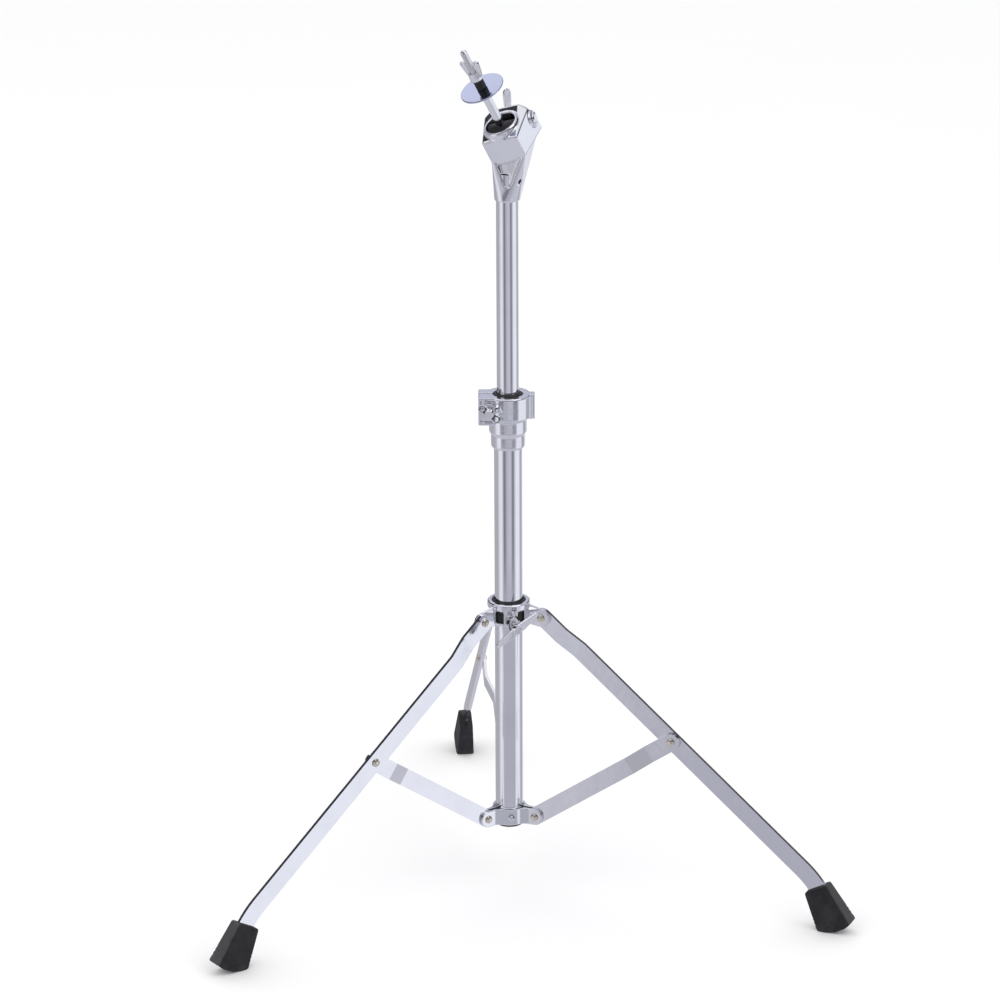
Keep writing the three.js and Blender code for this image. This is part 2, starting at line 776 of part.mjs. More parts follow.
function tilterHead() {
  const { drumRadius, halfWidth, wingBoltX, backFace } = TILTER;
  const bore = drumRadius + GAP;
  const opening = halfWidth + GAP;
  const neck = solid(new ConvexGeometry(neckPoints()));
  const block = solid(hull(headBlock()));
  const rimProfile = [
    [0, 5],
    [16.7, 5],
    [16.7, 10],
    [16.2, 13.5],
    [15.2, TILTER.rimTop],
    [0, TILTER.rimTop],
  ];
  const rim = solid(turned(rimProfile, 32));
  const capSeat = solid(alongX(rod(CAP.seatRadius, 12, CAP.seat, 20)).translate(0, CAP.y, CAP.z));
  const wingSeat = solid(alongY(rod(6.5, 12, backFace + 1, 20)).translate(wingBoltX, 0, 0));
  let body = join(block, neck, rim, capSeat, wingSeat).subtract(neckHollow(neck));
  const cavity = solid(alongX(rod(bore, -opening, opening, 32)));
  const mouth = solid(rod(bore, 0, 25, 32));
  const socketBore = uprightSolid(rod(UPPER_TUBE.radius + GAP, -70, SOCKET.boreTop, 32));
  const wingHole = solid(alongY(rod(PIN.shank + 0.5 + GAP, 5, 30, 16)).translate(wingBoltX, 0, 0));
  const capDrill = alongX(rod(PIN.shank + GAP, opening + 1.7, 25, 14));
  const capHole = solid(capDrill.translate(0, CAP.y, CAP.z));
  const screwHole = uprightSolid(setScrewRod(SET_SCREW.radius + GAP, 8, 25));
  body = cut(body, cavity, mouth, socketBore, wingHole, capHole, screwHole);
  add(head, "tilter_head", surface(body), "chrome");

  const cap = [
    [0, opening + 2],
    [PIN.shank, opening + 2],
    [PIN.shank, CAP.seat + GAP],
    [CAP.radius, CAP.seat + GAP],
    [CAP.radius, CAP.top - 1.1],
    [CAP.radius * 0.67, CAP.top],
    [0, CAP.top],
  ];
  const capScrew = alongX(turned(cap, 16)).translate(0, CAP.y, CAP.z);
  add(head, "tilter_cap_screw", capScrew, "chrome");

  const screw = setScrewRod(SET_SCREW.radius, SET_SCREW.from, SET_SCREW.to);
  add(pivot, "set_screw", screw, "blackNylon");

  const wingSpec = {
    shankLength: backFace + 1 - drumRadius - 0.6,
    hubRadius: 5.2,
    hubHeight: 9,
    root: { x: 3.5, z: 5, radius: 3.6 },
    tip: { x: 18, z: 13.5, radius: 4.8 },
    thickness: 2.2,
    twist: 22,
  };
  const made = add(head, "tilter_wing_bolt", surface(wingBolt(wingSpec)), "chrome");
  made.position.set(wingBoltX, backFace + 1, 0);
  made.rotation.set(-Math.PI / 2, 0, 0);
  made.rotateZ(Math.PI / 2);
}

// ---- cymbal rod and what is on it ---------------------------------------------------------

function cymbalRod() {
  const { drumRadius, halfWidth } = TILTER;
  const drum = solid(alongX(rod(drumRadius, -halfWidth, halfWidth, 32)));
  const drill = solid(rod(ROD.radius + GAP, -3.5, 20, 20));
  add(head, "tilter_drum", surface(cut(drum, drill)), "blackNylon");
  const profile = [
    [0, -3],
    [ROD.radius, -3],
    [ROD.radius, ROD.threadFrom],
    [ROD.threadRadius, ROD.threadFrom],
    [ROD.threadRadius, ROD.tip - 1],
    [ROD.threadRadius - 1, ROD.tip],
    [0, ROD.tip],
  ];
  add(head, "cymbal_rod", turned(profile, 20), "chrome");
  const hole = ROD.threadRadius + GAP;
  const cup = [
    [hole, CUP.at],
    [CUP.radius - 1, CUP.at],
    [CUP.radius, CUP.at + 0.7],
    [CUP.radius, CUP.at + CUP.thickness],
    [hole, CUP.at + CUP.thickness],
    [hole, CUP.at],
  ];
  add(head, "cup_washer", turned(cup, 32), "chrome");
  add(head, "rod_sleeve", ring(hole, SLEEVE.radius, SLEEVE.from, SLEEVE.to, 20), "blackNylon");

  const nutBottom = SLEEVE.to + GAP;
  const nutProfile = [
    [hole, nutBottom],
    [6, nutBottom],
    [6, nutBottom + 3],
    [5, nutBottom + 8],
    [hole, nutBottom + 8],
    [hole, nutBottom],
  ];
  const ears = wings({
    root: { x: 5.4, z: nutBottom + 5, radius: 2.3 },
    tip: { x: 7, z: nutBottom + 16.5, radius: 3.1 },
    thickness: 2.2,
    hole: 1.4,
  });
  const bore = solid(rod(hole, nutBottom - 1, nutBottom + 25, 20));
  const nut = cut(join(solid(turned(nutProfile, 20)), ears), bore);
  const made = add(head, "cymbal_wing_nut", surface(nut), "chrome");
  made.rotation.z = rad(-17);
}

// ---- build --------------------------------------------------------------------------------

tubes();
for (const [name, heading] of Object.entries(LEGS)) {
  leg(name, heading);
  brace(name, heading);
  bracketBand(name, heading);
}
collar();
heightClamp();
tilterHead();
cymbalRod();

pivot.position.z = TILTER.pivotZ;
stand.add(pivot);

export default stand;
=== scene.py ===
"""The looks of a chrome cymbal stand: materials, fine pieces, a pale studio and the camera."""

import json
import math

import bmesh
import bpy
from mathutils import Matrix, Vector


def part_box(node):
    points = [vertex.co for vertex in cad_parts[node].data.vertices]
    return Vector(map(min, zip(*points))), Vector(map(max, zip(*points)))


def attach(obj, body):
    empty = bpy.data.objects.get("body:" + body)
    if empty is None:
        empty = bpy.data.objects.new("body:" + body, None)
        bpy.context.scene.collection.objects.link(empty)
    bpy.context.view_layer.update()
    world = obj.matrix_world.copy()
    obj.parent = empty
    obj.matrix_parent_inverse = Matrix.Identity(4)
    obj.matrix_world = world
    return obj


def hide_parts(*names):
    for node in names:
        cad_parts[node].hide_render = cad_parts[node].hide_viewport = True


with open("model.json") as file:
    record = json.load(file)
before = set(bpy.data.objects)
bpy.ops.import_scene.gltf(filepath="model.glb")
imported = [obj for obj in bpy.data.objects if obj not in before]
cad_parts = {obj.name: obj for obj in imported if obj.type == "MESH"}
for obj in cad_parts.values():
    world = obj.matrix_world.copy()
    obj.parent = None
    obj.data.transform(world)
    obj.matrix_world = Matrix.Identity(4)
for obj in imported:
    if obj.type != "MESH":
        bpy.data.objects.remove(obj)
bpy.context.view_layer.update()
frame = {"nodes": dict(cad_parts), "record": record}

MM = 0.001
UP = Vector((0, 0, 1))
SIDES = ("rear", "left", "right")
joints = {joint["name"]: joint for joint in frame["record"]["behaviour"]["joints"]}
bodies = frame["record"]["behaviour"]["bodies"]
body_of = {node: body for body, nodes in bodies.items() for node in nodes}
column = Vector(joints["sleeve_swivel"]["pos_m"]) * Vector((1, 1, 0))
pivot = Vector(joints["rod_tilt"]["pos_m"])
rod_axis = Vector(joints["cymbal_nut_turn"]["axis"])
hinge_axis = Vector(joints["rod_tilt"]["axis"])


# ---- materials ----------------------------------------------------------------------------


class Tree:
    """A node tree, with short ways to add to it."""

    def __init__(self, tree):
        self.nodes = tree.nodes
        self.links = tree.links

    def wire(self, value, socket):
        """Sets a socket to a number or a colour, or links another node's output to it."""
        if isinstance(value, (int, float)):
            socket.default_value = value
        elif isinstance(value, tuple):
            socket.default_value = (*value, 1)
        else:
            self.links.new(value, socket)

    def math(self, operation, first, second=0.0):
        node = self.nodes.new("ShaderNodeMath")
        node.operation = operation
        self.wire(first, node.inputs[0])
        self.wire(second, node.inputs[1])
        return node.outputs[0]

    def mix(self, amount, first, second):
        node = self.nodes.new("ShaderNodeMix")
        node.data_type = "RGBA"
        self.wire(amount, node.inputs["Factor"])
        self.wire(first, node.inputs["A"])
        self.wire(second, node.inputs["B"])
        return node.outputs["Result"]


class Shader(Tree):
    """A material's node tree, with its principled shader and short ways to texture it."""

    def __init__(self, name, color, roughness, metallic=0.0):
        self.material = bpy.data.materials.new(name)
        self.material.use_nodes = True
        super().__init__(self.material.node_tree)
        self.main = self.nodes["Principled BSDF"]
        self.wire(color, self.main.inputs["Base Color"])
        self.rough(roughness)
        self.wire(metallic, self.main.inputs["Metallic"])
        self.place = self.nodes.new("ShaderNodeTexCoord").outputs["Object"]

    def stretched(self, scale):
        node = self.nodes.new("ShaderNodeMapping")
        self.wire(self.place, node.inputs["Vector"])
        node.inputs["Scale"].default_value = scale
        return node.outputs["Vector"]

    def noise(self, scale, detail=3.0, roughness=0.5, vector=None):
        node = self.nodes.new("ShaderNodeTexNoise")
        self.wire(vector or self.place, node.inputs["Vector"])
        self.wire(scale, node.inputs["Scale"])
        self.wire(detail, node.inputs["Detail"])
        self.wire(roughness, node.inputs["Roughness"])
        return node.outputs["Fac"]

    def remap(self, value, low, high, to_low, to_high):
        node = self.nodes.new("ShaderNodeMapRange")
        self.wire(value, node.inputs["Value"])
        limits = {"From Min": low, "From Max": high, "To Min": to_low, "To Max": to_high}
        for key, number in limits.items():
            self.wire(number, node.inputs[key])
        return node.outputs["Result"]

    def bump(self, height, strength, distance):
        node = self.nodes.new("ShaderNodeBump")
        self.wire(height, node.inputs["Height"])
        self.wire(strength, node.inputs["Strength"])
        self.wire(distance, node.inputs["Distance"])
        self.wire(node.outputs["Normal"], self.main.inputs["Normal"])

    def color(self, value):
        self.wire(value, self.main.inputs["Base Color"])

    def rough(self, value):
        self.wire(value, self.main.inputs["Roughness"])


# painted shade: the near-black colour put into creases and hollows, where shade falls
PAINTED_CREASE_SHADE = (0.03, 0.03, 0.035)


def chrome(name, color, ripple, ripple_size, grain=(1, 1, 1), rough=(0.04, 0.14), shade_creases=False):
    """Chrome plate: slow ripples, hairline wear and a faint haze. Painted shade darkens its creases."""
    s = Shader(name, color, rough[0], 1.0)
    waves = s.noise(1 / ripple_size, 2.0)
    hairlines = s.noise(900, 4.0, 0.6, s.stretched(grain))
    haze = s.noise(26, 5.0, 0.65)
    wear = s.remap(s.math("MULTIPLY", hairlines, haze), 0.22, 0.42, *rough)
    s.rough(wear)
    stain = s.remap(haze, 0.45, 0.75, 0.0, 0.35)
    dull = tuple(part * 0.86 for part in color)
    plate = s.mix(stain, color, dull)
    if shade_creases:
        # painted shade: creases and hollows are darkened by their Pointiness
        crease = s.nodes.new("ShaderNodeNewGeometry").outputs["Pointiness"]
        plate = s.mix(s.remap(crease, 0.42, 0.492, 0.9, 0.0), plate, PAINTED_CREASE_SHADE)
    s.color(plate)
    s.bump(s.math("ADD", waves, s.math("MULTIPLY", hairlines, 0.02)), ripple, 0.001)
    return s.material


def tinted_rivet():
    s = Shader("rivet", (0.8, 0.75, 0.62), 0.2, 1.0)
    blotches = s.noise(420, 4.0, 0.6)
    s.color(s.mix(blotches, (0.88, 0.84, 0.74), (0.66, 0.57, 0.42)))
    s.rough(s.remap(blotches, 0.3, 0.7, 0.12, 0.3))
    s.bump(s.noise(1500, 3.0), 0.15, 0.0004)
    return s.material


SOFT_SHINE = 0.3  # specular level of rubber and nylon
PAINTED_LIT_FACE = "lit_face_layer"  # the boots' vertex layer, 1 on the face that looks outwards, where a highlight is painted


def black_rubber():
    """Moulded rubber with a fine grain, a dusty bloom, scuffs near the floor and a painted highlight on
    its outer face.
    """
    s = Shader("foot_rubber", (0.02, 0.02, 0.021), 0.6)
    s.wire(SOFT_SHINE, s.main.inputs["Specular IOR Level"])
    bloom = s.noise(60, 6.0, 0.7)
    grain = s.noise(2600, 3.0, 0.6)
    split = s.nodes.new("ShaderNodeSeparateXYZ")
    s.wire(s.place, split.inputs["Vector"])
    low = s.remap(split.outputs["Z"], 0.0, 0.012, 0.55, 0.0)
    dust = s.math("MULTIPLY", s.remap(bloom, 0.42, 0.7, 0.0, 1.0), s.math("ADD", low, 0.3))
    # painted highlight: the outer face of each boot is made lighter, where the light falls on it
    face_light = s.nodes.new("ShaderNodeAttribute")
    face_light.attribute_name = PAINTED_LIT_FACE
    painted_highlight = s.math("MULTIPLY", face_light.outputs["Fac"], s.remap(bloom, 0.35, 0.65, 0.55, 1.0))
    skin_and_highlight = s.mix(painted_highlight, (0.011, 0.01, 0.013), (0.062, 0.06, 0.064))
    s.color(s.mix(dust, skin_and_highlight, (0.07, 0.068, 0.072)))
    s.rough(s.remap(bloom, 0.3, 0.7, 0.48, 0.72))
    s.bump(s.math("ADD", grain, s.math("MULTIPLY", bloom, 1.5)), 0.25, 0.0003)
    return s.material


def black_nylon():
    s = Shader("black_nylon", (0.012, 0.012, 0.013), 0.38)
    s.wire(SOFT_SHINE, s.main.inputs["Specular IOR Level"])
    rings = s.noise(240, 3.0, 0.6, s.stretched((0.15, 0.15, 6)))
    s.color(s.mix(s.noise(90, 4.0), (0.008, 0.008, 0.009), (0.03, 0.03, 0.032)))
    s.rough(s.remap(rings, 0.3, 0.7, 0.28, 0.5))
    s.bump(rings, 0.15, 0.0003)
    return s.material


CHROME = (0.86, 0.865, 0.89)
CAST_CHROME = (0.84, 0.845, 0.87)
SMALL_CHROME = (0.85, 0.855, 0.875)
BLUED_CHROME = (0.47, 0.5, 0.64)
looks = {
    "chrome_tube": chrome("chrome_tube", CHROME, 0.03, 0.05, (1, 1, 0.04)),
    "chrome_casting": chrome("chrome_casting", CAST_CHROME, 0.12, 0.012, rough=(0.05, 0.16), shade_creases=True),
    "chrome_strap": chrome("chrome_strap", CHROME, 0.08, 0.02, (0.2, 0.2, 1), (0.05, 0.2)),
    "chrome_hardware": chrome("chrome_hardware", SMALL_CHROME, 0.1, 0.008, shade_creases=True),
    "cup_chrome": chrome("cup_chrome", BLUED_CHROME, 0.05, 0.03, rough=(0.06, 0.12)),
    "rivet": tinted_rivet(),
    "foot_rubber": black_rubber(),
    "black_nylon": black_nylon(),
}
slot_of = {entry["node"]: entry["material_slot"] for entry in frame["record"]["subparts"]}


# ---- helpers for pieces -------------------------------------------------------------------

SHARP = 35  # degrees between two faces, from which a CAD edge is bevelled
ON_AXIS = 1e-7  # a radius this small is one point on the axis


def bevel(obj, width):
    mod = obj.modifiers.new("bevel", "BEVEL")
    mod.width = width
    mod.segments = 2
    mod.limit_method = "ANGLE"
    mod.angle_limit = math.radians(SHARP)
    mod.harden_normals = True
    mod.use_clamp_overlap = True


def smooth(mesh, angle):
    for polygon in mesh.polygons:
        polygon.use_smooth = True
    mesh.set_sharp_from_angle(angle=math.radians(angle))


def piece(name, bm, node, angle, look=None):
    """A finished piece that stands for a CAD node and rides on that node's body."""
    mesh = bpy.data.meshes.new(name)
    bmesh.ops.recalc_face_normals(bm, faces=bm.faces)
    bm.to_mesh(mesh)
    bm.free()
    smooth(mesh, angle)
    obj = bpy.data.objects.new(name, mesh)
    bpy.context.scene.collection.objects.link(obj)
    obj.data.materials.append(looks[look or slot_of[node]])
    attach(obj, body_of[node])
    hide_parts(node)


def basis(axis):
    """A rotation whose Z is the axis."""
    z = axis.normalized()
    start = Vector((1, 0, 0)) if abs(z.x) < 0.9 else Vector((0, 1, 0))
    x = (start - start.dot(z) * z).normalized()
    return Matrix((x, z.cross(x), z)).transposed().to_4x4()


def lathe(profile, origin, axis, steps):
    """A bmesh turned from (radius, height) points. A profile off the axis closes on itself."""
    bm = bmesh.new()
    place = Matrix.Translation(origin) @ basis(axis)
    rows = []
    for radius, height in profile:
        count = steps if radius > ON_AXIS else 1
        row = []
        for i in range(count):
            turn = 2 * math.pi * i / steps
            point = Vector((radius * math.cos(turn), radius * math.sin(turn), height))
            row.append(bm.verts.new(place @ point))
        rows.append(row)
    closed = len(rows[0]) > 1 and len(rows[-1]) > 1
    pairs = list(zip(rows, rows[1:]))
    if closed:
        pairs.append((rows[-1], rows[0]))
    for low, high in pairs:
        for i in range(steps):
            j = (i + 1) % steps
            corners = [low[i % len(low)], low[j % len(low)], high[j % len(high)], high[i % len(high)]]
            unique = list(dict.fromkeys(corners))
            if len(unique) > 2:
                bm.faces.new(unique)
    return bm


def along(node, origin, axis):
    """The stretch that a CAD node covers along an axis, and its greatest radius about it."""
    places = [vertex.co - origin for vertex in bpy.data.objects[node].data.vertices]
    heights = [place.dot(axis) for place in places]
    radii = [(place - place.dot(axis) * axis).length for place in places]
    return min(heights), max(heights), max(radii)


MOST_OF_HALF = 0.45  # the share of a side that one rounded corner may take


def fillet(profile, radius, turns=4):
    """A closed profile with each corner rounded by a quarter of a circle or less."""
    points = [Vector(point) for point in profile]
    made = []
    for i, corner in enumerate(points):
        back = points[i - 1] - corner
        ahead = points[(i + 1) % len(points)] - corner
        reach = min(radius, back.length * MOST_OF_HALF, ahead.length * MOST_OF_HALF)
        start = corner + back.normalized() * reach
        end = corner + ahead.normalized() * reach
        for k in range(turns + 1):
            t = k / turns
            made.append(tuple(start * (1 - t) ** 2 + corner * 2 * t * (1 - t) + end * t * t))
    return made


def ring_piece(node, origin, axis, bore, edge, steps, turns=4, look=None):
    """A tube, bush or washer with rounded edges, over the stretch that its CAD node covers."""
    low, high, outer = along(node, origin, axis)
    profile = [(bore, low), (outer, low), (outer, high), (bore, high)]
    bm = lathe(fillet(profile, edge, turns), origin, axis, steps)
    piece(node + "_fine", bm, node, 50, look)


# ---- tubes and bushes ---------------------------------------------------------------------

# Bore, rounding of the edges and steps around.
TUBES = {
    "lower_tube": (11.5 * MM, 0.4 * MM, 96),
    "upper_tube": (8.7 * MM, 0.4 * MM, 96),
    "clamp_sleeve": (10.2 * MM, 0.5 * MM, 72),
    "tube_glide": (10.2 * MM, 0.4 * MM, 64),
    "collar_bush": (13 * MM, 0.5 * MM, 72),
}
for node, (bore, edge, steps) in TUBES.items():
    ring_piece(node, column, UP, bore, edge, steps)


# ---- rivets -------------------------------------------------------------------------------

HEAD_HEIGHT = 1.6 * MM
SHANK = 2.5 * MM
RIM = 0.2  # the straight rim's share of a head's height
NEAR_RIM = 0.9  # a CAD vertex beyond this share of the greatest radius belongs to a head


def dome(radius, base, height, turns=8):
    """Profile points from a head's rim to the top of its round cap."""
    rim = RIM * height
    rise = height - rim
    ball = (radius**2 + rise**2) / (2 * rise)
    points = [(radius, base)]
    for k in range(turns):
        reach = radius * (1 - k / turns)
        points.append((reach, base + height - ball + math.sqrt(ball**2 - reach**2)))
    return points + [(0.0, base + height)]


def rivet_piece(node, origin, axis):
    """A rivet with a domed head at each end that has one in the CAD."""
    low, high, radius = along(node, origin, axis)
    places = [vertex.co - origin for vertex in bpy.data.objects[node].data.vertices]
    spots = [(place.dot(axis), (place - place.dot(axis) * axis).length) for place in places]
    wide = [height for height, reach in spots if reach > NEAR_RIM * radius]
    top_head = max(wide) > high - HEAD_HEIGHT
    bottom_head = min(wide) < low + HEAD_HEIGHT
    profile = [(0.0, low), (SHANK, low)]
    if bottom_head:
        rim = [(r, low + HEAD_HEIGHT - (h - low)) for r, h in dome(radius, low, HEAD_HEIGHT)]
        profile = list(reversed(rim)) + [(SHANK, low + HEAD_HEIGHT)]
    if top_head:
        profile += [(SHANK, high - HEAD_HEIGHT)] + dome(radius, high - HEAD_HEIGHT, HEAD_HEIGHT)
    else:
        profile += [(SHANK, high), (0.0, high)]
    piece(node + "_fine", lathe(profile, origin, axis, 40), node, 40)


def rivet_centre(node):
    low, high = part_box(node)
    return (Vector(low) + Vector(high)) / 2


for side in SIDES:
    swing = joints["leg_fold_" + side]
    axis = Vector(swing["axis"])
    rivet_piece("leg_pin_" + side, Vector(swing["pos_m"]), axis)
    rivet_piece("brace_pin_" + side, Vector(joints["brace_fold_" + side]["pos_m"]), axis)
    for kind in ("leg_rivet_", "brace_rivet_"):
        rivet_piece(kind + side, rivet_centre(kind + side), axis)


# ---- rubber feet --------------------------------------------------------------------------

# The boot's top edge: its place from the column, its slope in degrees and half its length.
FOOT_TOP = {"radius": 298.3 * MM, "z": 39.4 * MM, "slope": 61.4, "half": 12.1 * MM}
# The rocker sole: an arc between two angles, flat where it would dip under the floor.
SOLE = {"radius": 307.3 * MM, "curve": 32.5 * MM, "from": -12.0, "to": 52.0, "lift": 32.42 * MM}
FOOT_HALF_THICKNESS = (6.4 * MM, 8.7 * MM)  # at the top and at the sole
FOOT_SIDE = 9.8 * MM  # from the leg's plane of swing to the boot's middle
BOXY = 0.22  # power of the sine and cosine that squares the boot's outline
RIBS = (0.66, 0.76, 0.86)  # moulded grooves, as shares of the way from the top to the sole
RIB_WIDTH, RIB_DEPTH, RIB_INSET = 0.014, 0.05, 0.02
LIT_FROM, LIT_SOFT = 0.9, 0.06  # where the painted highlight on the outer face starts, and its soft edge
AROUND, DOWN = 72, 64
# Rings that close the boot's ends: share of the way down, and share of the full outline.
TOP_END = ((0.0, 0.05), (0.0, 0.5), (0.0, 0.8), (0.0, 0.93), (0.012, 0.975), (0.03, 0.995))
SOLE_EDGE = ((0.985, 0.995), (0.997, 0.975))
SOLE_END = SOLE_EDGE + tuple((1.0, share) for share in (0.94, 0.75, 0.5, 0.25, 0.05))


def foot(side):
    """A boot lofted from its narrow top to its rocker sole, with moulded ribs near the floor."""
    heading = Vector(joints["leg_fold_" + side]["axis"])
    outward = heading.cross(UP)
    slope = math.radians(FOOT_TOP["slope"])
    bm = bmesh.new()
    lit_face_layer = bm.verts.layers.float.new(PAINTED_LIT_FACE)

    def place(s, t, lateral):
        reach = s * FOOT_TOP["half"]
        top = (FOOT_TOP["radius"] + reach * math.sin(slope), FOOT_TOP["z"] + reach * math.cos(slope))
        angle = math.radians(SOLE["from"] + (s + 1) / 2 * (SOLE["to"] - SOLE["from"]))
        bottom = (
            SOLE["radius"] + SOLE["curve"] * math.sin(angle),
            max(0.0, SOLE["lift"] - SOLE["curve"] * math.cos(angle)),
        )
        radius = top[0] * (1 - t) + bottom[0] * t
        z = top[1] * (1 - t) + bottom[1] * t
        return column + outward * radius + heading * (FOOT_SIDE + lateral) + UP * z

    def ring(t, shrink):
        half = FOOT_HALF_THICKNESS[0] * (1 - t) + FOOT_HALF_THICKNESS[1] * t
        groove = sum(math.exp(-(((t - rib) / RIB_WIDTH) ** 2)) for rib in RIBS)
        row = []
        for i in range(AROUND):
            turn = 2 * math.pi * i / AROUND
            u = math.copysign(abs(math.cos(turn)) ** BOXY, math.cos(turn))
            v = math.copysign(abs(math.sin(turn)) ** BOXY, math.sin(turn))
            s = u * shrink * (1 - RIB_INSET * groove)
            lateral = v * half * shrink * (1 - RIB_DEPTH * groove)
            vert = bm.verts.new(place(s, t, lateral))
            # painted highlight mask: 1 on the outer face of the boot
            vert[lit_face_layer] = min(1.0, max(0.0, (u - LIT_FROM) / LIT_SOFT))
            row.append(vert)
        return row

    rows = [ring(t, shrink) for t, shrink in TOP_END]
    rows += [ring(k / DOWN, 1.0) for k in range(3, DOWN - 1)]
    rows += [ring(t, shrink) for t, shrink in SOLE_END]
    for low, high in zip(rows, rows[1:]):
        for i in range(AROUND):
            j = (i + 1) % AROUND
            bm.faces.new((low[i], low[j], high[j], high[i]))
    bm.faces.new(rows[0])
    bm.faces.new(rows[-1])
    piece("foot_" + side + "_boot", bm, "foot_" + side, 60)


for side in SIDES:
    foot(side)


# ---- cymbal rod ---------------------------------------------------------------------------


def cymbal_rod():
    """A plain rod with a turned shoulder and a cut thread above it."""
    plain, crest, root, pitch = 4 * MM, 3 * MM, 2.62 * MM, 1 * MM
    shoulder, chamfer, runout = 53 * MM, 0.5 * MM, 0.4 * MM
    last_turn, point, nose = 1.8 * MM, 1.2 * MM, 0.2 * MM
    low, tip, _ = along("cymbal_rod", pivot, rod_axis)
    profile = [(0.0, low), (plain, low), (plain, shoulder - chamfer), (plain - chamfer, shoulder)]
    height = shoulder + runout
    while height < tip - last_turn:
        profile += [(root, height), (crest, height + 0.4 * pitch), (crest, height + 0.6 * pitch)]
        height += pitch
    profile += [(root, tip - point), (root * 0.8, tip - nose), (root * 0.6, tip), (0.0, tip)]
    piece("cymbal_rod_fine", lathe(profile, pivot, rod_axis, 40), "cymbal_rod", 28)


def drum():
    """The tilter's drum, with the fine teeth that its clamp bites on."""
    low, high, outer = along("tilter_drum", pivot, hinge_axis)
    chamfer, pitch, depth, flank = 1 * MM, 2 * MM, 0.25 * MM, 0.4 * MM
    profile = [(0.0, low), (outer - chamfer, low), (outer, low + chamfer)]
    height = low + pitch
    while height < high - pitch:
        profile += [(outer, height), (outer - depth, height + flank), (outer, height + 2 * flank)]
        height += pitch
    profile += [(outer, high - chamfer), (outer - chamfer, high), (0.0, high)]
    piece("tilter_drum_fine", lathe(profile, pivot, hinge_axis, 72), "tilter_drum", 30)


cymbal_rod()
ring_piece("cup_washer", pivot, rod_axis, 3.3 * MM, 0.6 * MM, 128, turns=6, look="cup_chrome")
ring_piece("rod_sleeve", pivot, rod_axis, 3.3 * MM, 0.5 * MM, 48)
drum()


# ---- castings and wing bolts --------------------------------------------------------------


def casting(node, voxel, rounds):
    """The CAD solid as a die casting: one skin with rounded edges and no facets."""
    mesh = bpy.data.objects[node].data.copy()
    mesh.materials.clear()
    obj = bpy.data.objects.new(node + "_cast", mesh)
    bpy.context.scene.collection.objects.link(obj)
    mesh.materials.append(looks[slot_of[node]])
    skin_and_highlight = obj.modifiers.new("skin_and_highlight", "REMESH")
    skin_and_highlight.mode = "VOXEL"
    skin_and_highlight.voxel_size = voxel
    skin_and_highlight.use_smooth_shade = True
    soft = obj.modifiers.new("soft", "SMOOTH")
    soft.factor = 0.5
    soft.iterations = rounds
    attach(obj, body_of[node])
    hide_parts(node)


# Voxel size and rounds of smoothing.
CASTINGS = {
    "tilter_head": (0.55 * MM, 36),
    "height_clamp": (0.5 * MM, 18),
    "leg_collar": (0.4 * MM, 5),
    "tilter_wing_bolt": (0.35 * MM, 5),
    "cymbal_wing_nut": (0.3 * MM, 4),
    "clamp_wing_bolt": (0.3 * MM, 4),
    "collar_wing_bolt": (0.3 * MM, 4),
    "tilter_cap_screw": (0.25 * MM, 4),
}
CASTINGS.update({"bracket_band_" + side: (0.4 * MM, 5) for side in SIDES})
for node, (voxel, rounds) in CASTINGS.items():
    casting(node, voxel, rounds)


# ---- CAD nodes ----------------------------------------------------------------------------

EDGE_WIDTHS = {"leg_": 0.45 * MM, "brace_": 0.4 * MM}
SMALL_EDGE = 0.25 * MM


def dress(name, obj):
    """The finish of a CAD node. The ones that a finer piece replaces stay out of sight."""
    obj.data.materials.clear()
    obj.data.materials.append(looks[slot_of[name]])
    smooth(obj.data, 32)
    widths = [width for start, width in EDGE_WIDTHS.items() if name.startswith(start)]
    bevel(obj, widths[0] if widths else SMALL_EDGE)


for name in frame["nodes"]:
    dress(name, bpy.data.objects[name])


# ---- studio -------------------------------------------------------------------------------

CAMERA_HEADING = 81.8  # degrees from +X, the way the camera looks
CAMERA_DROP = 19.25  # degrees below level
CAMERA_DISTANCE = 3.864
CAMERA_ROLL = 0.26
LENS, SENSOR = 154.5, 36  # millimetres
FAR = 100
AIM = column + Vector((-7.42, 1.07, 371.9)) * MM


def camera():
    heading, drop = math.radians(CAMERA_HEADING), math.radians(CAMERA_DROP)
    ahead = Vector((math.cos(heading), math.sin(heading), 0))
    look = ahead * math.cos(drop) - UP * math.sin(drop)
    data = bpy.data.cameras.new("camera")
    data.lens = LENS
    data.sensor_width = SENSOR
    data.clip_end = FAR
    obj = bpy.data.objects.new("camera", data)
    turn = look.to_track_quat("-Z", "Y").to_matrix().to_4x4()
    roll = Matrix.Rotation(math.radians(-CAMERA_ROLL), 4, "Z")
    obj.matrix_world = Matrix.Translation(AIM - look * CAMERA_DISTANCE) @ turn @ roll
    bpy.context.scene.collection.objects.link(obj)
    bpy.context.scene.camera = obj


FLOOR_HALF = 30.0
FLOOR_TONE, FLOOR_MOTTLE = (0.93, 0.93, 0.93), (0.915, 0.915, 0.92)


def floor():
    bm = bmesh.new()
    bmesh.ops.create_grid(bm, x_segments=1, y_segments=1, size=FLOOR_HALF)
    mesh = bpy.data.meshes.new("floor")
    bm.to_mesh(mesh)
    bm.free()
    obj = bpy.data.objects.new("floor", mesh)
    bpy.context.scene.collection.objects.link(obj)
    s = Shader("floor", FLOOR_TONE, 0.9)
    s.color(s.mix(s.noise(3, 4.0), FLOOR_TONE, FLOOR_MOTTLE))
    mesh.materials.append(s.material)
    obj.visible_glossy = False


PALE = (1.06, 1.06, 1.065)
BEHIND = (0.55, 0.56, 0.68)
GREY, LINE = (0.44, 0.44, 0.48), (0.24, 0.24, 0.28)
